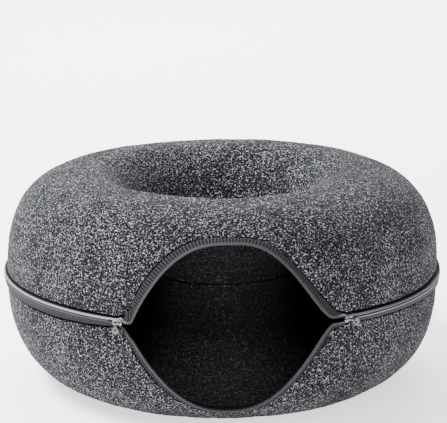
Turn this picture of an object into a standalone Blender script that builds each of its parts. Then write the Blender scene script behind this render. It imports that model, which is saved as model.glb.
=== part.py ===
"""Ring-shaped felt tunnel: two moulded felt half shells joined by a zip round
the outside and a second zip round the centre hole, with a lens-shaped entrance
held open between the two sliders of the outer zip.

Metres, +Z up. The entrance faces -Y and +X is on its right. The origin is on the
floor, under the centre of the bounding box; the ring's own axis is vertical
through (0, AXIS_Y).
"""

import bisect
import math

import bmesh
import bpy
from mathutils import Matrix, Vector

MM = 0.001

# ---------------------------------------------------------------- ring of felt
R_SHELL = 300.4 * MM  # outer radius of the felt at the zip plane
R_CREST = 179.0 * MM  # radius of the circle along the top of the tube
R_WAIST = 98.0 * MM  # radius of the centre hole at the zip plane
RISE = 138.0 * MM  # zip plane to the crest of the upper shell
DROP = 153.3 * MM  # zip plane to the unflattened bottom of the lower shell
FOOT_FLAT = 2.0 * MM  # how much of the bottom is pressed flat on the floor
Z_ZIP = DROP - FOOT_FLAT  # height of the zip plane above the floor
WALL = 5.0 * MM  # felt thickness
N_OUT_UP, N_IN_UP = 2.70, 1.80  # superellipse exponents of the four quadrants
N_OUT_LOW, N_IN_LOW = 2.39, 2.30
AXIS_Y = -8.65 * MM  # the ring's axis, from the middle of the bounding box

# ------------------------------------------------------------------- entrance
CORNER_DEG = 28.8  # azimuth at which the two lips part, either side of -Y
SLIT = 2.5 * MM  # how far each lip stands off the zip plane just past its slider
SLIT_DEG = 1.4
# peak azimuth, peak height, then exponents and end azimuth, left and right
UPPER_LIP = dict(peak=0.35, high=99.9 * MM, left=(3.12, 1.12, 25.0), right=(2.74, 1.95, 25.7))
LOWER_LIP = dict(peak=-1.62, high=117.2 * MM, left=(2.34, 1.12, 26.9), right=(2.57, 1.56, 25.3))

# ------------------------------------------------------------------ zip bands
# sections are (distance from the zip line along the felt, height off the felt)
# the felt stops this far (mm) from the outer zip line, at these azimuths
UPPER_FELT = [
    (-180, 6.0), (-75, 5.0), (-27.5, 5.0), (-26.2, 16.5), (-25.2, 20.0), (-24.0, 14.5), (-8, 14.0),
    (2, 12.0), (16, 11.5), (20.8, 13.2), (23.8, 17.0), (25.0, 15.5), (26.4, 9.5), (27.5, 7.0),
    (37, 5.8), (46, 5.0), (56, 5.2), (68, 8.0), (85, 8.0), (180, 6.0),
]  # fmt: skip
LOWER_FELT = [
    (-180, 11.5), (-80, 14.0), (-50, 15.0), (-39, 13.0), (-33, 11.0), (-29.5, 8.0), (-27.5, 8.0),
    (-24.5, 13.5), (-9, 13.5), (0, 12.0), (24.5, 11.5), (27.5, 8.0), (31, 8.5), (37, 10.0),
    (50, 11.0), (66, 14.0), (80, 14.0), (180, 11.5),
]  # fmt: skip
SEAM_HALF = 0.6 * MM  # half of the gap between the two tapes, and between the coils
COIL_WIDE = 1.8 * MM
OUTER_COIL_N = (1.8 * MM, 2.9 * MM)  # behind the tape, which hides it where it is closed
INNER_COIL_N = (2.4 * MM, 3.5 * MM)
TAPE_OVER, TAPE_UNDER = 4.9 * MM, 3.8 * MM  # the outer tape's two faces at the zip line
TAPE_FALL = 0.165  # how fast they come nearer the felt away from the zip line
TAPE_WEB = 1.2 * MM  # the part that turns in past the felt's edge
TAPE_GAP = (0.9 * MM, 1.8 * MM)  # between it and the felt, where the felt is nearest and farthest
TAPE_ROOT = 5.9 * MM  # how far it runs on behind the felt
ROOT_N = (-7.5 * MM, -6.3 * MM)
INNER_TAPE = [(14.0, 0.4), (14.0, 1.6), (8.5, 4.9), (0.6, 4.9), (0.6, 3.8), (8.0, 3.8), (12.9, 0.4)]
WAIST_EDGE = 1.0 * MM  # half of the seam between the felt edges at the waist

# ------------------------------------------------------------ slider and pull
SLIDER_LONG, SLIDER_WIDE = 13.0 * MM, 7.0 * MM
UNDER_WIDE = 5.2 * MM  # the plate behind the tapes
PLATE_TOP = (5.8 * MM, 7.1 * MM)
OUTER_PLATE_UNDER = (-0.1 * MM, 1.1 * MM)
INNER_PLATE_UNDER = (0.6 * MM, 1.6 * MM)
POST_HALF = 0.28 * MM
BAR_N, BAR_THICK = 10.4 * MM, 1.1 * MM
LEG = (3.6 * MM, 4.8 * MM)
# where each pull ring hangs along its bail
LEFT_RING_AT, RIGHT_RING_AT, INNER_RING_AT = -0.6 * MM, -2.5 * MM, -2.5 * MM
RING_R, RING_WIRE = 2.4 * MM, 0.5 * MM
RING_DROP = 1.05 * MM  # ring centre below the bail
TAB_HOLE = 0.95 * MM
TAB_THICK = 1.2 * MM
TAB_LONG, TAB_HALF = 11.2 * MM, 5.2 * MM
TAB_EYE_R, TAB_EYE_AT = 1.5 * MM, 5.2 * MM
LEFT_SLIDER_DEG, RIGHT_SLIDER_DEG, INNER_SLIDER_DEG = -28.4, 28.9, 170.0
RIGHT_TAB_TURN = 84.0  # the right tab lies back along the zip, in degrees from hanging

# -------------------------------------------------------------- mesh fineness
FRONT_STEPS = [0, 3, 6, 9, 12, 15, 18, 20.5, 23, 25, 26.5, 27.5, 28.5, 30, 32]
BACK_SEGMENTS = 23


def clear_scene():
    for obj in list(bpy.data.objects):
        bpy.data.objects.remove(obj, do_unlink=True)


def material(name, colour, roughness, metallic=0.0):
    made = bpy.data.materials.new(name)
    made.use_nodes = True
    shader = made.node_tree.nodes["Principled BSDF"]
    shader.inputs["Base Color"].default_value = (*colour, 1.0)
    shader.inputs["Roughness"].default_value = roughness
    shader.inputs["Metallic"].default_value = metallic
    made.diffuse_color = (*colour, 1.0)
    return made


def azimuths():
    """Degrees round the ring, 0 at the entrance, closer together at the entrance."""
    last = FRONT_STEPS[-1]
    side = FRONT_STEPS + [
        last + (180.0 - last) * i / BACK_SEGMENTS for i in range(1, BACK_SEGMENTS + 1)
    ]
    return [-a for a in reversed(side[1:-1])] + side


class Profile:
    """The tube's outer line from the outer zip plane over the crest (or under
    the foot) to the waist, as a function of the length along it."""

    def __init__(self, up):
        self.sign = 1.0 if up else -1.0
        self.high = RISE if up else DROP
        n_out, n_in = (N_OUT_UP, N_IN_UP) if up else (N_OUT_LOW, N_IN_LOW)
        steps = 400
        self.points = []
        for i in range(2 * steps + 1):
            turn = 0.5 * math.pi * i / steps
            c, s = math.cos(turn), math.sin(turn)
            if i <= steps:
                n, half = n_out, R_SHELL - R_CREST
            else:
                n, half = n_in, R_CREST - R_WAIST
            r = R_CREST + math.copysign(half * abs(c) ** (2 / n), c)
            z = self.high * max(s, 0.0) ** (2 / n)
            if i in (0, 2 * steps):
                z = 0.0
            if i == steps:
                r, z = R_CREST, self.high
            self.points.append((r, self.sign * z))
        self.length = [0.0]
        for (r0, z0), (r1, z1) in zip(self.points, self.points[1:]):
            self.length.append(self.length[-1] + math.hypot(r1 - r0, z1 - z0))
        self.crest = self.length[steps]
        self.end = self.length[-1]
        self.outer_heights = [abs(z) for _, z in self.points[: steps + 1]]

    def at(self, s):
        s = min(max(s, 0.0), self.end)
        i = min(max(bisect.bisect_right(self.length, s) - 1, 0), len(self.points) - 2)
        a, b = self.points[i], self.points[i + 1]
        t = (s - self.length[i]) / max(self.length[i + 1] - self.length[i], 1e-12)
        return a[0] + (b[0] - a[0]) * t, a[1] + (b[1] - a[1]) * t

    def normal(self, s):
        d = 1.5 * MM
        if s < d:
            return 1.0, 0.0
        if s > self.end - d:
            return -1.0, 0.0
        (r0, z0), (r1, z1) = self.at(s - d), self.at(s + d)
        size = math.hypot(r1 - r0, z1 - z0)
        return self.sign * (z1 - z0) / size, -self.sign * (r1 - r0) / size

    def off(self, s, n):
        r, z = self.at(s)
        nr, nz = self.normal(s)
        return r + n * nr, z + n * nz

    def reach(self, height):
        """Length along the outer quadrant at which it is this far from the zip plane."""
        i = min(max(bisect.bisect_right(self.outer_heights, height) - 1, 0), len(self.outer_heights) - 2)
        h0, h1 = self.outer_heights[i], self.outer_heights[i + 1]
        return self.length[i] + (self.length[i + 1] - self.length[i]) * (height - h0) / (h1 - h0)


def lip_height(shape, deg):
    """How far this lip's zip line stands from the zip plane at an azimuth."""
    side = "left" if deg < shape["peak"] else "right"
    a, b, end = shape[side]
    span = end + shape["peak"] if side == "left" else end - shape["peak"]
    t = min(abs(deg - shape["peak"]) / span, 1.0)
    inside = min(max((CORNER_DEG - abs(deg)) / SLIT_DEG, 0.0), 1.0)
    slit = SLIT * inside * inside * (3 - 2 * inside)
    return math.hypot(slit, shape["high"] * (1.0 - t**a) ** b)


def lip(profile, shape, deg):
    """(length along the profile, stretch) of the zip line: the stretch keeps a
    band the same width measured square to a sloping lip."""
    here = profile.reach(lip_height(shape, deg))
    step = 0.25
    rise = profile.reach(lip_height(shape, deg + step)) - profile.reach(lip_height(shape, deg - step))
    slope = rise / (2 * math.radians(step) * profile.at(here)[0])
    return here, math.sqrt(1.0 + slope * slope)


def felt_edge(table, deg):
    """How far the felt's edge lies from the zip line at an azimuth."""
    for (d0, e0), (d1, e1) in zip(table, table[1:]):
        if d0 <= deg <= d1:
            t = (deg - d0) / (d1 - d0)
            return (e0 + (e1 - e0) * t * t * (3 - 2 * t)) * MM
    return table[-1][1] * MM


def place(r, z, deg):
    a = math.radians(deg)
    return Vector((r * math.sin(a), -r * math.cos(a), Z_ZIP + z))


def finish_mesh(bm):
    bmesh.ops.recalc_face_normals(bm, faces=bm.faces[:])
    if bm.calc_volume(signed=True) < 0:
        bmesh.ops.reverse_faces(bm, faces=bm.faces[:])


def object_of(name, bm, mat, parent, sharp=40.0):
    mesh = bpy.data.meshes.new(name)
    bm.to_mesh(mesh)
    bm.free()
    mesh.materials.append(mat)
    mesh.shade_smooth()
    mesh.set_sharp_from_angle(angle=math.radians(sharp))
    obj = bpy.data.objects.new(name, mesh)
    bpy.context.scene.collection.objects.link(obj)
    obj.parent = parent
    return obj


def ring_object(name, section, mat, parent):
    """A closed ring whose section(deg) gives a polygon of (r, z) at each azimuth."""
    bm = bmesh.new()
    rows = [[bm.verts.new(place(r, z, deg)) for r, z in section(deg)] for deg in azimuths()]
    for one, two in zip(rows, rows[1:] + rows[:1]):
        count = len(one)
        for i in range(count):
            j = (i + 1) % count
            bm.faces.new((one[i], one[j], two[j]))
            bm.faces.new((one[i], two[j], two[i]))
    finish_mesh(bm)
    return object_of(name, bm, mat, parent)


def spread(start, stop, parts):
    return [start + (stop - start) * i / parts for i in range(parts + 1)]


def shell_section(profile, shape, felt):
    def section(deg):
        here, stretch = lip(profile, shape, deg)
        edge = here + felt_edge(felt, deg) * stretch
        last = profile.end - WAIST_EDGE
        outer = spread(edge, profile.crest, 8) + spread(profile.crest, last, 6)[1:]
        near = edge + 6.5 * MM * stretch
        inner = [edge] + spread(near, profile.crest, 3) + spread(profile.crest, last, 4)[1:]
        line = [profile.off(s, 0.0) for s in outer]
        line = [(r, max(z, -Z_ZIP)) for r, z in line]
        return line + [profile.off(s, -WALL) for s in reversed(inner)]

    return section


def foot_section(profile, shape, felt):
    """The lower shell's section, with points where the flat foot starts and ends."""
    low = [s for s in spread(0.0, profile.end, 2000) if profile.at(s)[1] <= -Z_ZIP]
    first, final = low[0], low[-1]

    def section(deg):
        here, stretch = lip(profile, shape, deg)
        edge = here + felt_edge(felt, deg) * stretch
        last = profile.end - WAIST_EDGE
        outer = spread(edge, first, 7) + [final] + spread(final, last, 5)[1:]
        near = edge + 6.5 * MM * stretch
        inner = [edge] + spread(near, profile.crest, 3) + spread(profile.crest, last, 4)[1:]
        line = [profile.off(s, 0.0) for s in outer]
        line = [(r, -Z_ZIP if i in (7, 8) else z) for i, (r, z) in enumerate(line)]
        return line + [profile.off(s, -WALL) for s in reversed(inner)]

    return section


def outer_band(profile, shape, polygon_at):
    def section(deg):
        here, stretch = lip(profile, shape, deg)
        return [profile.off(here + b * stretch, n) for b, n in polygon_at(deg)]

    return section


def tape_polygon(felt):
    """The outer tape's section: flat along the zip line, then in past the felt's edge."""

    def polygon(deg):
        edge = felt_edge(felt, deg)
        wide = min(max((edge - 5.0 * MM) / (6.5 * MM), 0.0), 1.0)
        out = edge - TAPE_GAP[0] - (TAPE_GAP[1] - TAPE_GAP[0]) * wide
        near, root = out - TAPE_WEB, edge + TAPE_ROOT
        return [
            (root, ROOT_N[1]), (out, ROOT_N[1]), (out, TAPE_OVER - TAPE_FALL * (out - SEAM_HALF)),
            (SEAM_HALF, TAPE_OVER), (SEAM_HALF, TAPE_UNDER),
            (near, TAPE_UNDER - TAPE_FALL * (near - SEAM_HALF)), (near, ROOT_N[0]), (root, ROOT_N[0]),
        ]  # fmt: skip

    return polygon


def inner_band(profile, polygon):
    return lambda deg: [profile.off(profile.end - b, n) for b, n in polygon]


def box(bm, x, y, z):
    made = bmesh.ops.create_cube(bm, size=1.0)
    size = Vector((x[1] - x[0], y[1] - y[0], z[1] - z[0]))
    centre = Vector(((x[1] + x[0]) / 2, (y[1] + y[0]) / 2, (z[1] + z[0]) / 2))
    bmesh.ops.scale(bm, vec=size, verts=made["verts"])
    bmesh.ops.translate(bm, vec=centre, verts=made["verts"])
    return made["verts"]


def helper(name, build):
    bm = bmesh.new()
    build(bm)
    finish_mesh(bm)
    mesh = bpy.data.meshes.new(name)
    bm.to_mesh(mesh)
    bm.free()
    obj = bpy.data.objects.new(name, mesh)
    bpy.context.scene.collection.objects.link(obj)
    obj.hide_render = True
    obj.display_type = "WIRE"
    return obj


def combined(name, first, others):
    """One mesh from a first helper and (helper, operation) pairs, all removed after."""
    for other, operation in others:
        step = first.modifiers.new(operation.lower(), "BOOLEAN")
        step.operation = operation
        step.solver = "EXACT"
        step.object = other
    bpy.context.view_layer.update()
    graph = bpy.context.evaluated_depsgraph_get()
    mesh = bpy.data.meshes.new_from_object(first.evaluated_get(graph))
    mesh.name = name
    for obj in [first] + [o for o, _ in others]:
        bpy.data.objects.remove(obj, do_unlink=True)
    return mesh


def plate(bm, half_long, half_wide, low, high, corner):
    """A flat plate with clipped corners, thickness along Z."""
    outline = []
    for sx, sy in ((1, 1), (-1, 1), (-1, -1), (1, -1)):
        a = (sx * half_long, sy * (half_wide - corner))
        b = (sx * (half_long - corner), sy * half_wide)
        outline += [a, b] if sx * sy > 0 else [b, a]
    extrude_outline(bm, outline, low, high)


def extrude_outline(bm, outline, low, high):
    under = [bm.verts.new((x, y, low)) for x, y in outline]
    over = [bm.verts.new((x, y, high)) for x, y in outline]
    bm.faces.new(list(reversed(under)))
    bm.faces.new(over)
    count = len(outline)
    for i in range(count):
        j = (i + 1) % count
        bm.faces.new((under[i], under[j], over[j], over[i]))


def slider_mesh(plate_under):
    """X towards the open side of the zip, Z away from the felt, zip line on X."""
    half_l, half_w = SLIDER_LONG / 2, SLIDER_WIDE / 2
    top = helper("slider_top", lambda bm: plate(bm, half_l, half_w, *PLATE_TOP, 1.6 * MM))
    under = helper("slider_under", lambda bm: plate(bm, half_l - 0.3 * MM, UNDER_WIDE / 2, *plate_under, 1.2 * MM))
    post = helper(
        "slider_post",
        lambda bm: box(bm, (3.2 * MM, 5.9 * MM), (-POST_HALF, POST_HALF), (plate_under[0] + 0.3 * MM, PLATE_TOP[1] - 0.3 * MM)),
    )

    def bail(bm):
        half = BAR_THICK / 2
        low, high = PLATE_TOP[1] - 0.4 * MM, BAR_N + half
        inner_x, outer_x = LEG
        line = [
            (-outer_x - 0.5 * MM, low), (-outer_x, high - 0.7 * MM), (-outer_x + 0.7 * MM, high),
            (outer_x - 0.7 * MM, high), (outer_x, high - 0.7 * MM), (outer_x + 0.5 * MM, low),
            (inner_x, low), (inner_x, BAR_N - half), (-inner_x, BAR_N - half), (-inner_x, low),
        ]  # fmt: skip
        one = [bm.verts.new((x, -half, z)) for x, z in line]
        two = [bm.verts.new((x, half, z)) for x, z in line]
        bm.faces.new(one)
        bm.faces.new(list(reversed(two)))
        for i in range(len(line)):
            j = (i + 1) % len(line)
            bm.faces.new((one[i], two[i], two[j], one[j]))

    arch = helper("slider_bail", bail)
    return combined("slider", top, [(under, "UNION"), (post, "UNION"), (arch, "UNION")])


def ring_mesh():
    """A wire ring in the YZ plane; its origin is on the bail that it hangs from."""
    bm = bmesh.new()
    major, minor = 16, 6
    rows = []
    for i in range(major):
        a = 2 * math.pi * (i + 0.5) / major
        row = []
        for j in range(minor):
            b = 2 * math.pi * j / minor
            r = RING_R + RING_WIRE * math.cos(b)
            row.append(bm.verts.new((RING_WIRE * math.sin(b), r * math.sin(a) - RING_DROP, r * math.cos(a))))
        rows.append(row)
    for one, two in zip(rows, rows[1:] + rows[:1]):
        for j in range(minor):
            k = (j + 1) % minor
            bm.faces.new((one[j], two[j], two[k], one[k]))
    finish_mesh(bm)
    mesh = bpy.data.meshes.new("pull_ring")
    bm.to_mesh(mesh)
    bm.free()
    return mesh


def tab_mesh():
    """The flat pull hanging towards -Y, thickness along Z, origin at its ring hole."""
    outline = []
    for i in range(9):  # neck round the ring hole
        a = math.pi * i / 8
        outline.append((1.75 * MM * math.cos(a), 1.75 * MM * math.sin(a)))
    body_y = -(TAB_LONG - TAB_HALF)
    outline += [(-1.75 * MM, -1.6 * MM), (-TAB_HALF + 0.9 * MM, -4.4 * MM)]
    for i in range(11):  # round lower end
        a = math.pi * (1 + i / 10)
        outline.append((TAB_HALF * math.cos(a), body_y + TAB_HALF * math.sin(a)))
    outline += [(TAB_HALF - 0.9 * MM, -4.4 * MM), (1.75 * MM, -1.6 * MM)]
    half = TAB_THICK / 2
    blank = helper("tab_blank", lambda bm: extrude_outline(bm, outline, -half, half))

    def drill(radius, y, sides):
        def build(bm):
            made = bmesh.ops.create_cone(
                bm, cap_ends=True, segments=sides, radius1=radius, radius2=radius, depth=4 * TAB_THICK
            )
            bmesh.ops.translate(bm, vec=Vector((0, y, 0)), verts=made["verts"])

        return build

    small = helper("tab_hole", drill(TAB_HOLE, 0.0, 12))
    large = helper("tab_eye", drill(TAB_EYE_R, -TAB_EYE_AT, 16))
    return combined("pull_tab", blank, [(small, "DIFFERENCE"), (large, "DIFFERENCE")])


def place_object(name, mesh, mat, parent, matrix):
    copy = mesh.copy()
    copy.name = name
    copy.materials.clear()
    copy.materials.append(mat)
    copy.shade_smooth()
    copy.set_sharp_from_angle(angle=math.radians(40))
    obj = bpy.data.objects.new(name, copy)
    bpy.context.scene.collection.objects.link(obj)
    obj.parent = parent
    obj.matrix_parent_inverse = Matrix.Identity(4)
    obj.matrix_basis = matrix
    return obj


def frame_matrix(x, y, z, at):
    return Matrix(
        ((x.x, y.x, z.x, at.x), (x.y, y.y, z.y, at.y), (x.z, y.z, z.z, at.z), (0, 0, 0, 1))
    )


def slider_group(prefix, deg, radius, outward, towards_mouth, ring_at, tab_turn, meshes, metal, axis_empty):
    """A slider, its ring and its tab. outward is +1 on the outside of the ring and
    -1 in the centre hole; towards_mouth is +1 when the open side is at rising azimuth.
    Each hangs from an empty on its joint's axis."""
    a = math.radians(deg)
    radial = Vector((math.sin(a), -math.cos(a), 0.0))
    tangent = Vector((math.cos(a), math.sin(a), 0.0))
    n = radial * outward
    x = tangent * towards_mouth
    y = n.cross(x)
    travel = bpy.data.objects.new(prefix + "_travel_axis", None)
    bpy.context.scene.collection.objects.link(travel)
    travel.parent = axis_empty
    slider_mat = frame_matrix(x, y, n, radial * radius + Vector((0, 0, Z_ZIP)))
    place_object(prefix + "_slider", meshes[0], metal, travel, slider_mat)
    bail = radial * radius + Vector((0, 0, Z_ZIP)) + x * ring_at + n * BAR_N
    up = Vector((0, 0, 1))
    along = up.cross(n)  # with up and n, a right-handed frame: along, up, n
    ring = place_object(prefix + "_pull_ring", meshes[1], metal, travel, frame_matrix(along, up, n, bail))
    hole = bail - up * (RING_DROP + RING_R)
    back = -x
    turn = math.radians(tab_turn)
    down = -up * math.cos(turn) + back * math.sin(turn)
    across = (-down).cross(n)
    place_object(prefix + "_pull_tab", meshes[2], metal, travel, frame_matrix(across, -down, n, hole))
    return ring


def back_patch(parent, mat):
    bm = bmesh.new()
    low = R_SHELL + 5.4 * MM
    box(bm, (-12 * MM, 12 * MM), (low, low + 1.1 * MM), (Z_ZIP - 9.5 * MM, Z_ZIP + 9.5 * MM))
    bmesh.ops.bevel(
        bm,
        geom=[e for e in bm.edges if abs(e.verts[0].co.y - e.verts[1].co.y) > 0.5 * MM],
        offset=2.5 * MM,
        segments=2,
        affect="EDGES",
    )
    finish_mesh(bm)
    return object_of("outer_zip_end_patch", bm, mat, parent)


def inner_stop(parent, mat):
    bm = bmesh.new()
    high = R_WAIST - 5.4 * MM
    box(bm, (-1.8 * MM, 1.8 * MM), (high - 1.2 * MM, high), (Z_ZIP - 3.2 * MM, Z_ZIP + 3.2 * MM))
    finish_mesh(bm)
    return object_of("inner_zip_stop", bm, mat, parent)


def main():
    clear_scene()
    felt_up = material("felt_upper", (0.105, 0.107, 0.115), 0.95)
    felt_low = material("felt_lower", (0.105, 0.107, 0.115), 0.95)
    tape = material("zip_tape", (0.16, 0.16, 0.18), 0.8)
    coil = material("zip_coil", (0.10, 0.10, 0.11), 0.55)
    metal = material("zip_metal", (0.82, 0.82, 0.83), 0.28, 1.0)

    axis_empty = bpy.data.objects.new("ring_axis", None)
    bpy.context.scene.collection.objects.link(axis_empty)
    axis_empty.location = (0.0, AXIS_Y, 0.0)

    upper, lower = Profile(True), Profile(False)
    ring_object("upper_shell", shell_section(upper, UPPER_LIP, UPPER_FELT), felt_up, axis_empty)
    ring_object("lower_shell", foot_section(lower, LOWER_LIP, LOWER_FELT), felt_low, axis_empty)

    inner_line = [(b * MM, n * MM) for b, n in INNER_TAPE]

    def bead(low, high):
        far = SEAM_HALF + COIL_WIDE
        return [(SEAM_HALF, low), (SEAM_HALF, high), (far, high), (far, low)]

    sides = (("upper", upper, UPPER_LIP, UPPER_FELT), ("lower", lower, LOWER_LIP, LOWER_FELT))
    for side, profile, shape, felt in sides:
        ring_object(f"outer_zip_{side}_tape", outer_band(profile, shape, tape_polygon(felt)), tape, axis_empty)
        ring_object(f"outer_zip_{side}_coil", outer_band(profile, shape, lambda deg: bead(*OUTER_COIL_N)), coil, axis_empty)
        ring_object(f"inner_zip_{side}_tape", inner_band(profile, inner_line), tape, axis_empty)
        ring_object(f"inner_zip_{side}_coil", inner_band(profile, bead(*INNER_COIL_N)), coil, axis_empty)

    small = (ring_mesh(), tab_mesh())
    meshes = (slider_mesh(OUTER_PLATE_UNDER), *small)
    inner_meshes = (slider_mesh(INNER_PLATE_UNDER), *small)
    slider_group("left", LEFT_SLIDER_DEG, R_SHELL, 1, 1, LEFT_RING_AT, 0.0, meshes, metal, axis_empty)
    slider_group("right", RIGHT_SLIDER_DEG, R_SHELL, 1, -1, RIGHT_RING_AT, RIGHT_TAB_TURN, meshes, metal, axis_empty)
    slider_group("inner", INNER_SLIDER_DEG, R_WAIST, -1, 1, INNER_RING_AT, 0.0, inner_meshes, metal, axis_empty)
    back_patch(axis_empty, tape)
    inner_stop(axis_empty, metal)


main()
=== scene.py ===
"""The looks of the ring-shaped felt tunnel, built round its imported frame: fine
felt shells, woven zip tapes, coils of teeth, sliders and pulls. Metres, +Z up."""

import math
import bpy
import numpy as np
from mathutils import Matrix, Vector


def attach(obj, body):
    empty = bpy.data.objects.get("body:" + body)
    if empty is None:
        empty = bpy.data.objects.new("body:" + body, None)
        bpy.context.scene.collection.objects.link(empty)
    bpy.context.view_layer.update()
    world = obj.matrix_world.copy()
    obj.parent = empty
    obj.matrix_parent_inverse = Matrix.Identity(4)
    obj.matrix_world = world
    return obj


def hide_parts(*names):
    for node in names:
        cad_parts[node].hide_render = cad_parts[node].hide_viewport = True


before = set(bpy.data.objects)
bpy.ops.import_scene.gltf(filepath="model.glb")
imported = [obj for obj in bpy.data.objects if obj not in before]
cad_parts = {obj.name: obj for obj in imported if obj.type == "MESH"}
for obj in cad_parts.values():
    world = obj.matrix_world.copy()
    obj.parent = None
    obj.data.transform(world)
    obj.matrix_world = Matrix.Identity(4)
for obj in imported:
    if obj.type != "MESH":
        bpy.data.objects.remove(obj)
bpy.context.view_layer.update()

MM = 0.001

# ------------------------------------------------------------- the ring of felt
R_SHELL, R_CREST, R_WAIST = 300.4 * MM, 179.0 * MM, 98.0 * MM
RISE, DROP, FOOT_FLAT = 138.0 * MM, 153.3 * MM, 2.0 * MM
Z_ZIP = DROP - FOOT_FLAT
WALL = 5.0 * MM
N_OUT_UP, N_IN_UP = 2.70, 1.80
N_OUT_LOW, N_IN_LOW = 2.39, 2.30
AXIS_Y = -8.65 * MM

CORNER_DEG = 28.8
SLIT, SLIT_DEG = 2.5 * MM, 1.4
UPPER_LIP = dict(peak=0.35, high=99.9 * MM, left=(3.12, 1.12, 25.0), right=(2.74, 1.95, 25.7))
LOWER_LIP = dict(peak=-1.62, high=117.2 * MM, left=(2.34, 1.12, 26.9), right=(2.57, 1.56, 25.3))
# (azimuth, mm) of the felt's edges from the outer zip line
UPPER_FELT = [
    (-180, 6.4), (-75, 6.2), (-27.5, 6.2), (-26.2, 16.5), (-25.2, 20.0), (-24.0, 14.5), (-8, 14.0),
    (2, 12.0), (16, 11.5), (20.8, 13.2), (23.8, 17.0), (25.0, 15.5), (26.4, 9.5), (27.5, 7.2),
    (37, 6.8), (46, 6.2), (56, 6.4), (68, 8.4), (85, 8.4), (180, 6.4),
]  # fmt: skip
LOWER_FELT = [
    (-180, 11.5), (-80, 14.0), (-50, 15.0), (-39, 13.0), (-33, 11.0), (-29.5, 8.0), (-27.5, 8.0),
    (-24.5, 13.5), (-9, 13.5), (0, 12.0), (24.5, 11.5), (27.5, 8.0), (31, 8.5), (37, 10.0),
    (50, 11.0), (66, 14.0), (80, 14.0), (180, 11.5),
]  # fmt: skip
WAIST_EDGE = 1.0 * MM
SEAM_HALF = 0.6 * MM
OUTER_TAPE_LINE = [(17.4, -6.9), (9.1, -6.9), (9.1, 2.9), (1.05, 4.27)]
INNER_TAPE_LINE = [(13.6, 0.95), (8.3, 4.3), (0.55, 4.35)]
TAPE_THICK = 0.95 * MM
COIL_PITCH = 2.6 * MM
RIB_PITCH = 1.8 * MM

ROOT_SHADE_MARK = 0.05  # added to the tape's UV where it dips behind the felt's edge, to mark where the tape is painted near-black as painted shade in the groove


# ------------------------------------------------------------------ small tools
def smooth_step(x):
    x = np.clip(x, 0.0, 1.0)
    return x * x * (3.0 - 2.0 * x)


def lattice(ix, iy, iz, seed):
    """A repeatable random number from 0 to 1 for each whole-number point."""
    h = (ix * 374761393 + iy * 668265263 + iz * 2147483647 + seed * 974634777).astype(np.int64)
    h = (h ^ (h >> 13)) * 1274126177
    h = h ^ (h >> 16)
    return (h & 0xFFFFFF) / float(0xFFFFFF)


def lumps(points, size, seed):
    """Smooth noise from -1 to 1 at points, with features of about this size."""
    p = points / size
    base = np.floor(p).astype(np.int64)
    f = p - base
    f = f * f * (3.0 - 2.0 * f)
    total = 0.0
    for dx in (0, 1):
        for dy in (0, 1):
            for dz in (0, 1):
                weight = (
                    (f[..., 0] if dx else 1 - f[..., 0])
                    * (f[..., 1] if dy else 1 - f[..., 1])
                    * (f[..., 2] if dz else 1 - f[..., 2])
                )
                total = total + weight * lattice(base[..., 0] + dx, base[..., 1] + dy, base[..., 2] + dz, seed)
    return 2.0 * total - 1.0


# ----------------------------------------------------------------- tube profile
class Profile:
    """The tube's outer line from the outer zip plane over the crest, or under the
    foot, to the waist, as a function of the length along it."""

    def __init__(self, up):
        self.sign = 1.0 if up else -1.0
        high = RISE if up else DROP
        n_out, n_in = (N_OUT_UP, N_IN_UP) if up else (N_OUT_LOW, N_IN_LOW)
        steps = 1500
        turn = 0.5 * np.pi * np.arange(2 * steps + 1) / steps
        c, s = np.cos(turn), np.clip(np.sin(turn), 0.0, 1.0)
        s[0] = s[-1] = 0.0
        c[steps] = 0.0
        outer = np.arange(2 * steps + 1) <= steps
        n = np.where(outer, n_out, n_in)
        half = np.where(outer, R_SHELL - R_CREST, R_CREST - R_WAIST)
        self.r = R_CREST + np.sign(c) * half * np.abs(c) ** (2 / n)
        self.z = self.sign * high * s ** (2 / n)
        step = np.hypot(np.diff(self.r), np.diff(self.z))
        self.length = np.concatenate([[0.0], np.cumsum(step)])
        self.crest = self.length[steps]
        self.end = self.length[-1]
        self.heights = np.abs(self.z[: steps + 1])
        self.steps = steps

    def at(self, s):
        s = np.clip(s, 0.0, self.end)
        return np.interp(s, self.length, self.r), np.interp(s, self.length, self.z)

    def normal(self, s):
        d = 1.5 * MM
        inside = np.clip(s, d, self.end - d)
        r0, z0 = self.at(inside - d)
        r1, z1 = self.at(inside + d)
        size = np.hypot(r1 - r0, z1 - z0)
        nr, nz = self.sign * (z1 - z0) / size, -self.sign * (r1 - r0) / size
        near, far = s < d, s > self.end - d
        nr = np.where(near, 1.0, np.where(far, -1.0, nr))
        nz = np.where(near | far, 0.0, nz)
        return nr, nz

    def off(self, s, n):
        r, z = self.at(s)
        nr, nz = self.normal(s)
        return r + n * nr, z + n * nz

    def reach(self, height):
        top = self.steps + 1
        return np.interp(height, self.heights, self.length[:top])


def lip_height(shape, deg):
    deg = np.asarray(deg, float)
    left = deg < shape["peak"]
    a = np.where(left, shape["left"][0], shape["right"][0])
    b = np.where(left, shape["left"][1], shape["right"][1])
    span = np.where(left, shape["left"][2] + shape["peak"], shape["right"][2] - shape["peak"])
    t = np.clip(np.abs(deg - shape["peak"]) / span, 0.0, 1.0)
    slit = SLIT * smooth_step((CORNER_DEG - np.abs(deg)) / SLIT_DEG)
    return np.hypot(slit, shape["high"] * (1.0 - t**a) ** b)


def lip(profile, shape, deg):
    """(length along the profile, stretch) of the zip line at each azimuth."""
    here = profile.reach(lip_height(shape, deg))
    step = 0.25
    rise = profile.reach(lip_height(shape, deg + step)) - profile.reach(lip_height(shape, deg - step))
    slope = rise / (2 * math.radians(step) * profile.at(here)[0])
    return here, np.sqrt(1.0 + slope * slope)


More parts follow.
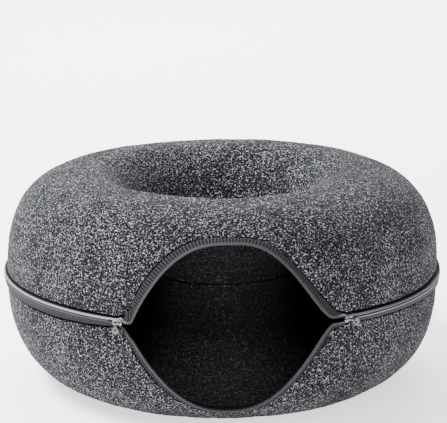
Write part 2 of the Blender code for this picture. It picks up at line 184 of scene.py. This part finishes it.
def lip_slant(profile, shape, deg):
    """How steeply the zip line climbs away from the zip plane at each azimuth."""
    step = 0.25
    rise = profile.reach(lip_height(shape, deg + step)) - profile.reach(lip_height(shape, deg - step))
    return rise / (2 * math.radians(step) * profile.at(lip(profile, shape, deg)[0])[0])


def felt_edge(table, deg):
    """How far the felt's edge lies from the zip line, in metres, at each azimuth."""
    deg = np.asarray(deg, float)
    at = np.array([d for d, _ in table], float)
    far = np.array([e for _, e in table], float)
    i = np.clip(np.searchsorted(at, deg, side="right") - 1, 0, len(at) - 2)
    t = smooth_step((deg - at[i]) / (at[i + 1] - at[i]))
    return (far[i] + (far[i + 1] - far[i]) * t) * MM


def place(r, z, deg):
    a = np.radians(deg)
    # the two lips hang a little below the zip plane just past the left slider
    dip = smooth_step((deg + 28.0) / 1.3) * smooth_step((-23.2 - deg) / 3.0)
    z = z - 4.5 * MM * dip * (1.0 - smooth_step((np.abs(z) - 8.0 * MM) / (26.0 * MM)))
    return np.stack([r * np.sin(a), AXIS_Y - r * np.cos(a), Z_ZIP + z], axis=-1)


def azimuths(front, back):
    """Degrees round the ring in rising order: finer steps across the entrance."""
    reach = 34.0
    side = np.linspace(0.0, reach, front + 1)
    rest = np.linspace(reach, 180.0, back + 1)[1:]
    half = np.concatenate([side, rest])
    return np.concatenate([-half[1:-1][::-1], half])


# ------------------------------------------------------------------ mesh makers
def mesh_object(name, points, faces, uvs=None):
    mesh = bpy.data.meshes.new(name)
    mesh.from_pydata([tuple(p) for p in points], [], [tuple(f) for f in faces])
    if uvs is not None:
        layer = mesh.uv_layers.new(name="UVMap")
        index = np.empty(len(mesh.loops), np.int32)
        mesh.loops.foreach_get("vertex_index", index)
        layer.data.foreach_set("uv", uvs[index].astype(np.float32).ravel())
    mesh.validate()
    mesh.update()
    mesh.shade_smooth()
    obj = bpy.data.objects.new(name, mesh)
    bpy.context.scene.collection.objects.link(obj)
    return obj


def closed_sweep(name, rows, uvs=None, ring=True):
    """Rows (columns, section, 3) of points: a closed section swept round, closed on itself."""
    columns, section = rows.shape[:2]
    index = np.arange(columns * section).reshape(columns, section)
    nxt = np.roll(index, -1, axis=0)
    if not ring:
        index, nxt = index[:-1], index[1:]
    a, b = index, np.roll(index, -1, axis=1)
    c, d = np.roll(nxt, -1, axis=1), nxt
    faces = np.stack([a, b, c, d], axis=-1).reshape(-1, 4)
    points = rows.reshape(-1, 3)
    obj_uv = None if uvs is None else uvs.reshape(-1, 2)
    face_list = [tuple(f) for f in faces]
    if not ring:
        face_list.append(tuple(range(section))[::-1])
        face_list.append(tuple(int(v) for v in np.arange(section) + (columns - 1) * section))
    p = points[faces]
    volume = np.einsum("ij,ij->i", p[:, 0], np.cross(p[:, 1], p[:, 2])).sum()
    volume += np.einsum("ij,ij->i", p[:, 0], np.cross(p[:, 2], p[:, 3])).sum()
    if volume < 0:
        face_list = [tuple(reversed(f)) for f in face_list]
    return mesh_object(name, points, face_list, obj_uv)


# -------------------------------------------------------------------- materials
def new_material(name):
    made = bpy.data.materials.new(name)
    made.use_nodes = True
    tree = made.node_tree
    shader = tree.nodes["Principled BSDF"]
    return made, tree, shader


def node(tree, kind, **values):
    made = tree.nodes.new(kind)
    for key, value in values.items():
        if key.startswith("in_"):
            made.inputs[key[3:].replace("_", " ")].default_value = value
        else:
            setattr(made, key, value)
    return made


def noise(tree, vector, scale, detail=2.0, roughness=0.5, distortion=0.0):
    made = tree.nodes.new("ShaderNodeTexNoise")
    made.inputs["Scale"].default_value = scale
    made.inputs["Detail"].default_value = detail
    made.inputs["Roughness"].default_value = roughness
    made.inputs["Distortion"].default_value = distortion
    tree.links.new(vector, made.inputs["Vector"])
    return made.outputs["Fac"]


def math_node(tree, operation, a, b=None, clamp=False):
    made = tree.nodes.new("ShaderNodeMath")
    made.operation = operation
    made.use_clamp = clamp
    for socket, value in zip(made.inputs, (a, b)):
        if value is None:
            continue
        if isinstance(value, (int, float)):
            socket.default_value = value
        else:
            tree.links.new(value, socket)
    return made.outputs[0]


def ramp(tree, fac, stops):
    made = tree.nodes.new("ShaderNodeValToRGB")
    tree.links.new(fac, made.inputs["Fac"])
    band = made.color_ramp
    while len(band.elements) < len(stops):
        band.elements.new(0.5)
    for element, (position, colour) in zip(band.elements, stops):
        element.position = position
        element.color = (*colour, 1.0)
    return made.outputs["Color"]


def scaled(tree, vector, scale, rotation=(0.0, 0.0, 0.0)):
    made = tree.nodes.new("ShaderNodeMapping")
    made.inputs["Scale"].default_value = scale
    made.inputs["Rotation"].default_value = rotation
    tree.links.new(vector, made.inputs["Vector"])
    return made.outputs["Vector"]


def felt_material(name, dark, mid, light, contrast, floor=None):
    """Heathered needle felt: matted dark and pale fibres in clumps a few mm across, the mottle also carrying painted
    highlight and painted shade of the felt's small lumps.
    floor: how many times paler it is painted at the bottom of the tube, inside, as painted light where light falls in
    through the entrance."""
    made, tree, shader = new_material(name)
    where = tree.nodes.new("ShaderNodeTexCoord").outputs["Object"]
    clumps = noise(tree, where, 470.0, 2.0, 0.5, 0.3)
    strands_a = noise(tree, scaled(tree, where, (1050, 170, 300), (0.5, 0.3, 0.9)), 1.0, 2.0, 0.6, 0.6)
    strands_b = noise(tree, scaled(tree, where, (180, 1050, 280), (0.2, 0.9, 0.4)), 1.0, 2.0, 0.6, 0.6)
    strands_c = noise(tree, scaled(tree, where, (260, 180, 1050), (0.8, 0.1, 0.2)), 1.0, 2.0, 0.6, 0.6)
    strands = math_node(tree, "MAXIMUM", math_node(tree, "MAXIMUM", strands_a, strands_b), strands_c)
    broad = noise(tree, where, 22.0, 2.0, 0.5)
    mix = math_node(tree, "ADD", math_node(tree, "MULTIPLY", clumps, 0.85), 0.075)
    mix = math_node(tree, "ADD", mix, math_node(tree, "MULTIPLY", math_node(tree, "SUBTRACT", strands, 0.58), 1.15))
    mix = math_node(tree, "ADD", mix, math_node(tree, "MULTIPLY", math_node(tree, "SUBTRACT", broad, 0.5), 0.10))
    spread = contrast
    # dark and pale fibres, with painted highlight and painted shade of the felt's lumps stretched into the same ramp
    colour = ramp(
        tree,
        mix,
        [
            (0.545 - spread, dark),
            (0.545 - 0.42 * spread, tuple(0.82 * c for c in mid)),
            (0.545 + 0.42 * spread, tuple(1.30 * c for c in mid)),
            (0.545 + spread, light),
        ],
    )
    # painted light: the felt is painted paler at the bottom of the tube inside, where light falls in through the
    # entrance
    if floor is not None:
        spot = tree.nodes.new("ShaderNodeSeparateXYZ")
        tree.links.new(where, spot.inputs["Vector"])
        floor_painted_light = math_node(tree, "MULTIPLY", math_node(tree, "SUBTRACT", 0.085, spot.outputs["Z"]), 18.0, clamp=True)
        painted_light_gain = tree.nodes.new("ShaderNodeVectorMath")
        painted_light_gain.operation = "SCALE"
        tree.links.new(colour, painted_light_gain.inputs["Vector"])
        tree.links.new(
            math_node(tree, "ADD", math_node(tree, "MULTIPLY", floor_painted_light, floor - 1.0), 1.0), painted_light_gain.inputs["Scale"]
        )
        colour = painted_light_gain.outputs["Vector"]
    tree.links.new(colour, shader.inputs["Base Color"])
    shader.inputs["Roughness"].default_value = 0.95
    shader.inputs["Specular IOR Level"].default_value = 0.05
    shader.inputs["Sheen Weight"].default_value = 0.03
    shader.inputs["Sheen Roughness"].default_value = 0.6
    shader.inputs["Sheen Tint"].default_value = (0.8, 0.82, 0.86, 1.0)
    height = math_node(tree, "ADD", math_node(tree, "MULTIPLY", clumps, 0.9), math_node(tree, "MULTIPLY", strands, 0.6))
    bump = tree.nodes.new("ShaderNodeBump")
    bump.inputs["Strength"].default_value = 0.9
    bump.inputs["Distance"].default_value = 1.6 * MM
    tree.links.new(height, bump.inputs["Height"])
    tree.links.new(bump.outputs["Normal"], shader.inputs["Normal"])
    return made


def tape_material(name, base, high, closed_painted_bands, tick, right_corner_painted_gain):
    """Woven polyester tape. UV: metres along the tape, metres in from its free edge.
    Ribs run along it; where the zip is open its edge is ticked by the coil's stitches.
    closed_painted_bands: (metres in, tone) across it where the zip is closed: painted highlights on the upper tape's
    lit fold and the lower tape's rounded free edge, painted shade in the seam and towards the felt's edge.
    right_corner_painted_gain: the same tones' gain beside the entrance's right corner, painted light and shade that
    even the tape to one grey there."""
    made, tree, shader = new_material(name)
    texture = tree.nodes.new("ShaderNodeTexCoord")
    uv = texture.outputs["UV"]
    split = tree.nodes.new("ShaderNodeSeparateXYZ")
    tree.links.new(uv, split.inputs["Vector"])
    along, across = split.outputs["X"], split.outputs["Y"]
    spot = tree.nodes.new("ShaderNodeSeparateXYZ")
    tree.links.new(texture.outputs["Object"], spot.inputs["Vector"])
    beside = math_node(tree, "ABSOLUTE", spot.outputs["X"])
    front = math_node(tree, "LESS_THAN", spot.outputs["Y"], -0.2)
    opened = math_node(tree, "MULTIPLY", math_node(tree, "SUBTRACT", 0.140, beside), 150.0, clamp=True)
    opened = math_node(tree, "MULTIPLY", opened, front)
    closed = math_node(tree, "SUBTRACT", 1.0, opened)
    ticks = math_node(tree, "SINE", math_node(tree, "MULTIPLY", along, 2 * math.pi / 0.0040))
    inner = math_node(tree, "MULTIPLY", math_node(tree, "SUBTRACT", across, 0.0026), 1500.0, clamp=True)
    ticks = math_node(tree, "MULTIPLY", ticks, inner)
    ribs = math_node(tree, "COSINE", math_node(tree, "MULTIPLY", across, 2 * math.pi / RIB_PITCH))
    fuzz = noise(tree, scaled(tree, uv, (700, 1500, 1)), 1.0, 3.0, 0.6)
    fading = math_node(tree, "MULTIPLY", math_node(tree, "SUBTRACT", 0.030, spot.outputs["X"]), 20.0, clamp=True)
    fading = math_node(tree, "ADD", math_node(tree, "MULTIPLY", fading, 0.7), 0.3)
    tone_open = math_node(tree, "MULTIPLY", math_node(tree, "MULTIPLY", ticks, tick), fading)
    tone_open = math_node(tree, "ADD", tone_open, OPEN_EDGE)
    tone_open = math_node(tree, "SUBTRACT", tone_open, math_node(tree, "MULTIPLY", inner, OPEN_EDGE - OPEN_MIDDLE))
    # levels: painted highlight and painted shade across the closed tape
    levels = ramp(
        tree,
        math_node(tree, "MULTIPLY", across, 1.0 / 0.016, clamp=True),
        [(v / 0.016, (tone, tone, tone)) for v, tone in closed_painted_bands],
    )
    # painted light and shade beside the entrance's right corner: the upper tape's highlight darkened, the lower tape
    # lightened
    right = math_node(tree, "MULTIPLY", math_node(tree, "SUBTRACT", spot.outputs["X"], 0.10), 12.0, clamp=True)
    ahead = math_node(tree, "MULTIPLY", math_node(tree, "SUBTRACT", -0.03, spot.outputs["Y"]), 9.0, clamp=True)
    painted_light_gain = math_node(tree, "MULTIPLY", math_node(tree, "MULTIPLY", right, ahead), right_corner_painted_gain - 1.0)
    levels = math_node(tree, "MULTIPLY", levels, math_node(tree, "ADD", painted_light_gain, 1.0))
    tone_closed = math_node(tree, "ADD", levels, math_node(tree, "MULTIPLY", ribs, 0.11))
    tone = math_node(
        tree,
        "ADD",
        math_node(tree, "MULTIPLY", tone_open, opened),
        math_node(tree, "MULTIPLY", tone_closed, closed),
    )
    tone = math_node(tree, "ADD", tone, math_node(tree, "MULTIPLY", math_node(tree, "SUBTRACT", fuzz, 0.5), 0.22))
    # painted shade: near-black where the tape dips into the groove behind the felt's edge
    root_painted_shade = math_node(tree, "MULTIPLY", math_node(tree, "SUBTRACT", across, 0.5 * ROOT_SHADE_MARK), 100.0, clamp=True)
    tone = math_node(tree, "SUBTRACT", tone, math_node(tree, "MULTIPLY", root_painted_shade, 2.0), clamp=True)
    colour = ramp(tree, tone, [(0.0, base), (0.5, tuple(0.32 * h + 0.68 * b for h, b in zip(high, base))), (1.0, high)])
    tree.links.new(colour, shader.inputs["Base Color"])
    shader.inputs["Roughness"].default_value = 0.62
    shader.inputs["Specular IOR Level"].default_value = 0.08
    shader.inputs["Sheen Weight"].default_value = 0.02
    shader.inputs["Sheen Roughness"].default_value = 0.4
    weave = math_node(
        tree,
        "ADD",
        math_node(tree, "MULTIPLY", ticks, opened),
        math_node(tree, "MULTIPLY", ribs, closed),
    )
    bump = tree.nodes.new("ShaderNodeBump")
    bump.inputs["Strength"].default_value = 0.8
    bump.inputs["Distance"].default_value = 0.5 * MM
    tree.links.new(math_node(tree, "ADD", weave, math_node(tree, "MULTIPLY", fuzz, 0.6)), bump.inputs["Height"])
    tree.links.new(bump.outputs["Normal"], shader.inputs["Normal"])
    return made


def plastic_material(name, colour, roughness):
    made, tree, shader = new_material(name)
    where = tree.nodes.new("ShaderNodeTexCoord").outputs["Object"]
    grain = noise(tree, where, 900.0, 2.0)
    tint = ramp(tree, grain, [(0.3, tuple(c * 0.85 for c in colour)), (0.7, tuple(min(c * 1.15, 1.0) for c in colour))])
    tree.links.new(tint, shader.inputs["Base Color"])
    tree.links.new(
        math_node(tree, "ADD", math_node(tree, "MULTIPLY", grain, 0.15), roughness - 0.07), shader.inputs["Roughness"]
    )
    shader.inputs["Specular IOR Level"].default_value = 0.5
    return made


def metal_material(name, colour, roughness):
    made, tree, shader = new_material(name)
    where = tree.nodes.new("ShaderNodeTexCoord").outputs["Object"]
    wear = noise(tree, where, 700.0, 4.0, 0.6)
    tint = ramp(tree, wear, [(0.25, tuple(c * 0.86 for c in colour)), (0.75, colour)])
    tree.links.new(tint, shader.inputs["Base Color"])
    shader.inputs["Metallic"].default_value = 1.0
    tree.links.new(
        math_node(tree, "ADD", math_node(tree, "MULTIPLY", wear, 0.16), roughness - 0.08), shader.inputs["Roughness"]
    )
    bump = tree.nodes.new("ShaderNodeBump")
    bump.inputs["Strength"].default_value = 0.15
    bump.inputs["Distance"].default_value = 0.1 * MM
    tree.links.new(wear, bump.inputs["Height"])
    tree.links.new(bump.outputs["Normal"], shader.inputs["Normal"])
    return made


FELT = felt_material("felt_outside", (0.0008, 0.0008, 0.0010), (0.0212, 0.0217, 0.0248), (0.29, 0.295, 0.32), 0.112)
# the inside felt: a flatter, darker copy of the outside felt as painted shade, painted 4 times paler near the bottom as
# painted light
FELT_IN = felt_material("felt_inside", (0.006, 0.006, 0.0066), (0.018, 0.0182, 0.020), (0.07, 0.07, 0.078), 0.14, 4.0)
OPEN_EDGE, OPEN_MIDDLE = 0.18, 0.055
# one woven tape in two painted copies: the bands paint a highlight on the upper tape's lit fold, a highlight on the
# lower tape's rounded free edge, and shade in the seam and towards the felt's edge
TAPE_UP = tape_material(
    "zip_tape_weave_upper", (0.003, 0.003, 0.0034), (0.30, 0.295, 0.335),
    [(0.0, 0.02), (0.0007, 0.06), (0.0014, 0.90), (0.0031, 0.80), (0.0040, 0.15), (0.0080, 0.15)],
    0.09, 0.6,
)  # fmt: skip
TAPE_LOW = tape_material(
    "zip_tape_weave_lower", (0.003, 0.003, 0.0034), (0.30, 0.295, 0.335),
    [(0.0, 0.08), (0.0005, 0.34), (0.0010, 0.38), (0.0017, 0.01), (0.0030, 0.10), (0.0060, 0.05), (0.0090, 0.01)],
    0.04, 2.8,
)  # fmt: skip
COIL = plastic_material("zip_coil_plastic", (0.05, 0.05, 0.053), 0.45)
PATCH_CLOTH = plastic_material("end_patch_cloth", (0.022, 0.022, 0.025), 0.85)
METAL = metal_material("zip_pressed_metal", (0.20, 0.20, 0.205), 0.22)
# the pulls take the sliders' metal made darker, as painted shade
SHADED_PULL_METAL = metal_material("zip_pull_metal", (0.09, 0.09, 0.094), 0.25)


# --------------------------------------------------------------------- felt shells
def felt_shell(name, up, shape, felt, node_name):
    profile = Profile(up)
    deg = azimuths(170, 210)
    here, stretch = lip(profile, shape, deg)
    edge = here + felt_edge(felt, deg) * stretch
    last = profile.end - WAIST_EDGE
    soft = 1.3 * MM  # rounding of the felt's cut edges
    outer_count, inner_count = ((150, 60))

    def run(count, start, stop):
        t = np.linspace(0.0, 1.0, count)[None, :]
        return start[:, None] + (stop - start)[:, None] * t

    lasts = np.full_like(edge, last)
    columns, offsets = [], []
    turn = np.radians(np.linspace(0, 90, 5))
    # outside face, from the rounded cut edge to the rounded waist edge
    outside = run(outer_count, edge + soft * stretch, lasts - soft)
    columns.append(outside)
    offsets.append(np.zeros_like(outside))
    for a in turn[1:]:
        columns.append((last - soft + soft * np.sin(a)) * np.ones_like(edge)[:, None])
        offsets.append((-soft + soft * np.cos(a)) * np.ones_like(edge)[:, None])
    for a in turn[:-1]:
        columns.append((last - soft + soft * np.cos(a)) * np.ones_like(edge)[:, None])
        offsets.append((-WALL + soft - soft * np.sin(a)) * np.ones_like(edge)[:, None])
    inside = run(inner_count, lasts - soft, edge + soft * stretch)
    columns.append(inside)
    offsets.append(np.full_like(inside, -WALL))
    for a in turn[1:]:
        columns.append((edge + (soft - soft * np.sin(a)) * stretch)[:, None])
        offsets.append((-WALL + soft - soft * np.cos(a)) * np.ones_like(edge)[:, None])
    for a in turn[:-1]:
        columns.append((edge + (soft - soft * np.cos(a)) * stretch)[:, None])
        offsets.append((-soft + soft * np.sin(a)) * np.ones_like(edge)[:, None])
    s = np.concatenate(columns, axis=1)
    n = np.concatenate(offsets, axis=1)
    r, z = profile.off(s, n)
    degs = np.repeat(deg[:, None], s.shape[1], axis=1)
    points = place(r, z, degs)
    # matted, slightly uneven surface
    nr, nz = profile.normal(s)
    normal = place(nr, nz, degs) - place(np.zeros_like(nr), np.zeros_like(nz), degs)
    far = np.minimum(s - edge[:, None], last - s)
    fade = 0.15 + 0.85 * smooth_step(far / (30.0 * MM))
    outwards = np.where(n > -WALL / 2, 1.0, 0.5)
    uneven = 1.1 * MM * lumps(points, 95 * MM, 3) + 0.5 * MM * lumps(points, 33 * MM, 5)
    fuzz = 0.30 * MM * lumps(points, 6.5 * MM, 7) + 0.20 * MM * lumps(points, 3.2 * MM, 9)
    push = (uneven * fade + fuzz * (0.3 + 0.7 * fade)) * outwards
    points = points + normal * push[..., None]
    points[..., 2] = np.maximum(points[..., 2], 0.15 * MM if not up else -1.0)
    rows = points
    obj = closed_sweep(name, rows)
    obj.data.materials.append(FELT)
    obj.data.materials.append(FELT_IN)
    section = s.shape[1]
    first_inside = outer_count + 8
    # faces of the inside skin take the inside felt: a flatter, darker copy of the felt as painted shade, paler at the
    # bottom as painted light
    slot_of = np.zeros(section, np.int32)
    slot_of[first_inside : first_inside + inner_count - 1] = 1
    index = np.tile(slot_of, len(deg))
    obj.data.polygons.foreach_set("material_index", index)
    obj.data.update()
    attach(obj, "tunnel")
    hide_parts(node_name)
    return obj


felt_shell("felt_upper", True, UPPER_LIP, UPPER_FELT, "upper_shell")
felt_shell("felt_lower", False, LOWER_LIP, LOWER_FELT, "lower_shell")


# ------------------------------------------------------------------------- zips
def rounded(line, radius, arc=5):
    """Points of a polyline with its corners rounded off."""
    pts = [np.array(p, float) for p in line]
    out = [pts[0]]
    for before, corner, after in zip(pts, pts[1:], pts[2:]):
        a = (before - corner) / np.linalg.norm(before - corner)
        b = (after - corner) / np.linalg.norm(after - corner)
        angle = math.acos(float(np.clip(np.dot(a, b), -1, 1)))
        cut = radius / math.tan(angle / 2)
        start, stop = corner + a * cut, corner + b * cut
        centre = corner + (a + b) / np.linalg.norm(a + b) * radius / math.sin(angle / 2)
        u, v = start - centre, stop - centre
        sweep = math.acos(float(np.clip(np.dot(u, v) / radius**2, -1, 1)))
        for i in range(arc + 1):
            t = i / arc
            out.append(centre + (math.sin((1 - t) * sweep) * u + math.sin(t * sweep) * v) / math.sin(sweep))
    out.append(pts[-1])
    return np.array(out)


def ribbon_outline(line, thick):
    """The closed outline (b, n) of a strip of this thickness along a polyline, ends
    rounded, and the distance along the strip of each point."""
    step = np.diff(line, axis=0)
    direction = step / np.linalg.norm(step, axis=1)[:, None]
    mean = np.vstack([direction[:1], direction[:-1] + direction[1:], direction[-1:]])
    mean /= np.linalg.norm(mean, axis=1)[:, None]
    side = np.stack([-mean[:, 1], mean[:, 0]], axis=1)
    half = thick / 2
    run = np.concatenate([[0.0], np.cumsum(np.linalg.norm(step, axis=1))])
    left, right = line + side * half, line - side * half
    tip, tail = line[-1], line[0]
    tip_dir, tail_dir = mean[-1], -mean[0]
    tip_side, tail_side = side[-1], side[0]
    cap = [tip + half * (tip_side * math.cos(a) + tip_dir * math.sin(a)) for a in np.radians([36, 72, 108, 144])]
    end = [tail + half * (-tail_side * math.cos(a) + tail_dir * math.sin(a)) for a in np.radians([36, 72, 108, 144])]
    outline = np.vstack([left, cap, right[::-1], end])
    along = np.concatenate([run, [run[-1]] * 4, run[::-1], [0.0] * 4])
    return outline, along


def densify(line, most):
    out = [line[0]]
    for a, b in zip(line, line[1:]):
        parts = max(1, int(math.ceil(np.linalg.norm(b - a) / most)))
        for i in range(1, parts + 1):
            out.append(a + (b - a) * i / parts)
    return np.array(out)


def arc_length(profile, s, deg):
    """Distance round the ring along a line, one value for each azimuth."""
    r, z = profile.at(s)
    p = place(r, z, deg)
    step = np.linalg.norm(np.diff(p, axis=0), axis=1)
    return np.concatenate([[0.0], np.cumsum(step)])


def meeting(deg):
    """How far a tape's free edge closes up to the other one's: nothing at the entrance
    and where a slider stands at the ends of its travel."""
    side = np.abs(deg)
    return 0.595 * MM * smooth_step((side - 30.6) / 1.2) * smooth_step((172.0 - side) / 1.2)


def outer_line(up, shape, felt=None):
    """Where a section's points lie round the outer zip. With a table of felt edges
    the section, drawn for an edge 11.5 mm away, is fitted to the edge that is there."""
    profile = Profile(up)

    def fitted(deg, b, n):
        b, n = b + 0 * deg, n + 0 * deg
        if felt is None:
            return b, n
        edge = felt_edge(felt, deg)
        wide = np.clip((edge - 6.4 * MM) / (5.1 * MM), 0.0, 1.0)
        groove = np.clip((edge - 11.5 * MM) / (2.0 * MM), 0.0, 1.0) * smooth_step((26.5 - np.abs(deg)) / 2.0)
        gap = 2.1 - 0.7 * wide if up else 2.1 + 0.8 * wide + 1.2 * groove
        shift = edge - gap * MM - 9.7 * MM
        knee, lead = 7.7 * MM, 1.05 * MM
        flat = lead + (b - lead) * (knee + shift - lead) / (knee - lead)
        moved = np.where(b < knee, np.where(b > lead, flat, b), b + shift)
        near = smooth_step((n + 3.0 * MM) / (5.0 * MM))
        lifted = n + 0.165 * (b - moved) * near
        return moved - meeting(deg) * np.clip((3.0 * MM - moved) / (1.95 * MM), 0.0, 1.0), lifted

    def locate(deg, b, n):
        here, stretch = lip(profile, shape, deg)
        b, n = fitted(deg, b, n)
        return profile.off(here + b * stretch, n)

    def slant(deg):
        return lip_slant(profile, shape, deg)

    return profile, locate, lambda deg: lip(profile, shape, deg)[0], fitted, slant


def inner_line(up):
    profile = Profile(up)

    def locate(deg, b, n):
        return profile.off(profile.end - b + 0 * deg, n)

    def as_drawn(deg, b, n):
        return b + 0 * deg, n + 0 * deg

    return profile, locate, lambda deg: profile.end + 0 * deg, as_drawn, lambda deg: 0.0 * deg


def tape(name, line_maker, line, node_name, skin):
    profile, locate, home, fitted, slant = line_maker
    deg = azimuths(200, 220)
    smooth = densify(rounded(line, 1.3), 0.5)
    outline, across = ribbon_outline(smooth, TAPE_THICK / MM)
    outline = outline * MM
    across = (across.max() - across) * MM
    rows, uvs = [], []
    run = arc_length(profile, home(deg), deg)
    lean = slant(deg)
    wave = 0.12 * MM * lumps(np.stack([run, run * 0, run * 0], -1), 22 * MM, 11)
    close = fitted(deg, 0.0, 0.0)[0] * -1.0
    for (b, n), v in zip(outline, across):
        free = smooth_step((n - 0.5 * MM) / (3.0 * MM))
        moved, _ = fitted(deg, b, n)
        inwards = v + moved - b + close
        rib = 0.13 * MM * np.cos(2 * math.pi * inwards / RIB_PITCH) * free
        r, z = locate(deg, b, n + wave * free + rib)
        rows.append(place(r, z, deg))
        uvs.append(np.stack([run + moved * lean, inwards + (ROOT_SHADE_MARK if n < 1.2 * MM else 0.0)], -1))
    rows = np.stack(rows, axis=1)
    uvs = np.stack(uvs, axis=1)
    obj = closed_sweep(name, rows, uvs)
    obj.data.materials.append(skin)
    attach(obj, "tunnel")
    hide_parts(node_name)
    return obj


def coil(name, line_maker, centre_b, centre_n, half_b, half_n, wire, node_name, pitch=COIL_PITCH):
    """A continuous coil of teeth: a flattened helix wound along the tape's edge."""
    profile, locate, home = line_maker[:3]
    fine = np.linspace(-179.0, 179.0, 6000)
    run = arc_length(profile, home(fine), fine)
    turns = int(run[-1] / pitch)
    per_turn = 8
    count = turns * per_turn
    where = np.linspace(0.0, turns * pitch, count)
    deg = np.interp(where, run, fine)
    phase = 2 * np.pi * np.arange(count) / per_turn
    b = centre_b - half_b * np.cos(phase)
    n = centre_n + half_n * np.sin(phase)
    r, z = locate(deg, b, n)
    path = place(r, z, deg)
    tangent = np.gradient(path, axis=0)
    tangent /= np.linalg.norm(tangent, axis=1)[:, None]
    r0, z0 = locate(deg, np.full_like(b, centre_b), np.full_like(n, centre_n))
    core = place(r0, z0, deg)
    away = path - core
    away -= tangent * np.einsum("ij,ij->i", away, tangent)[:, None]
    away /= np.linalg.norm(away, axis=1)[:, None]
    other = np.cross(tangent, away)
    sides = 5
    ring = [
        path + wire * (away * math.cos(2 * math.pi * k / sides) + other * math.sin(2 * math.pi * k / sides))
        for k in range(sides)
    ]
    obj = closed_sweep(name, np.stack(ring, axis=1), ring=False)
    obj.data.materials.append(COIL)
    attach(obj, "tunnel")
    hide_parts(node_name)
    return obj


upper_line, lower_line = outer_line(True, UPPER_LIP), outer_line(False, LOWER_LIP)
upper_band, lower_band = outer_line(True, UPPER_LIP, UPPER_FELT), outer_line(False, LOWER_LIP, LOWER_FELT)
upper_waist, lower_waist = inner_line(True), inner_line(False)
tape("outer_tape_upper", upper_band, OUTER_TAPE_LINE, "outer_zip_upper_tape", TAPE_UP)
tape("outer_tape_lower", lower_band, OUTER_TAPE_LINE, "outer_zip_lower_tape", TAPE_LOW)
tape("inner_tape_upper", upper_waist, INNER_TAPE_LINE, "inner_zip_upper_tape", TAPE_LOW)
tape("inner_tape_lower", lower_waist, INNER_TAPE_LINE, "inner_zip_lower_tape", TAPE_LOW)
coil("outer_coil_upper", upper_line, 1.55 * MM, 2.75 * MM, 0.75 * MM, 0.55 * MM, 0.42 * MM, "outer_zip_upper_coil")
coil("outer_coil_lower", lower_line, 1.55 * MM, 2.75 * MM, 0.75 * MM, 0.55 * MM, 0.42 * MM, "outer_zip_lower_coil")
coil("inner_coil_upper", upper_waist, 1.55 * MM, 2.9 * MM, 0.75 * MM, 0.45 * MM, 0.40 * MM, "inner_zip_upper_coil")
coil("inner_coil_lower", lower_waist, 1.55 * MM, 2.9 * MM, 0.75 * MM, 0.45 * MM, 0.40 * MM, "inner_zip_lower_coil")

# ------------------------------------------------- pieces kept from the CAD model
for name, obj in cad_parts.items():
    if obj.hide_render:
        continue
    if "slider" in name or "pull" in name or "stop" in name:
        obj.data.materials.clear()
        obj.data.materials.append(SHADED_PULL_METAL if "pull" in name else METAL)
        if "ring" not in name:
            edge = obj.modifiers.new("edges", "BEVEL")
            edge.width = 0.22 * MM
            edge.segments = 2
            edge.limit_method = "ANGLE"
            edge.angle_limit = math.radians(40.0)
    elif "patch" in name:
        obj.data.materials.clear()
        obj.data.materials.append(PATCH_CLOTH)

# ------------------------------------------------------------------------ stage
floor_mesh = bpy.data.meshes.new("floor")
floor_mesh.from_pydata([(-40, -40, 0), (40, -40, 0), (40, 40, 0), (-40, 40, 0)], [], [(0, 1, 2, 3)])
floor = bpy.data.objects.new("floor", floor_mesh)
bpy.context.scene.collection.objects.link(floor)
floor_mat, floor_tree, floor_shader = new_material("floor")
floor_shader.inputs["Base Color"].default_value = (0.92, 0.92, 0.92, 1.0)
floor_shader.inputs["Emission Color"].default_value = (1.0, 1.0, 1.0, 1.0)
floor_shader.inputs["Emission Strength"].default_value = 1.3
floor_shader.inputs["Roughness"].default_value = 0.9
floor_mesh.materials.append(floor_mat)

world = bpy.data.worlds.new("studio")
bpy.context.scene.world = world
world.use_nodes = True
world.node_tree.nodes["Background"].inputs["Color"].default_value = (1.0, 1.0, 1.0, 1.0)
world.node_tree.nodes["Background"].inputs["Strength"].default_value = 1.08


def area_light(name, position, target, size, power):
    light = bpy.data.lights.new(name, "AREA")
    light.shape = "DISK"
    light.size = size
    light.energy = power
    obj = bpy.data.objects.new(name, light)
    bpy.context.scene.collection.objects.link(obj)
    obj.location = position
    obj.rotation_euler = (Vector(target) - Vector(position)).to_track_quat("-Z", "Y").to_euler()
    return obj


area_light("key", (-2.1, -0.55, 2.65), (0, 0, 0.12), 1.3, 135.0)
area_light("top", (-1.6, 0.2, 2.6), (0, 0, 0.2), 1.0, 192.0)
area_light("fill", (1.8, -1.9, 1.2), (0, 0, 0.12), 1.6, 6.0)
area_light("backdrop", (0.0, 3.6, 2.6), (0, 3.4, 0.0), 4.0, 420.0)

# ----------------------------------------------------------------------- camera
ELEV, AZ, DIST = math.radians(15.47), math.radians(-2.8), 2.620
camera_data = bpy.data.cameras.new("camera")
camera_data.sensor_width = 36.0
camera_data.lens = 149.8
camera = bpy.data.objects.new("camera", camera_data)
bpy.context.scene.collection.objects.link(camera)
flat = DIST * math.cos(ELEV)
camera.location = (flat * math.sin(AZ), AXIS_Y - flat * math.cos(AZ), Z_ZIP + DIST * math.sin(ELEV))
aim = Vector((0.0, AXIS_Y, Z_ZIP)) - camera.location
look = aim.to_track_quat("-Z", "Y")
# the zip plane's centre sits a little below and left of the frame's middle
tilt = Matrix.Rotation(math.atan(52.79 / 1860.0), 3, "X") @ Matrix.Rotation(-math.atan(1.37 / 1860.0), 3, "Y")
camera.rotation_euler = (look.to_matrix() @ tilt).to_euler()
bpy.context.scene.camera = camera
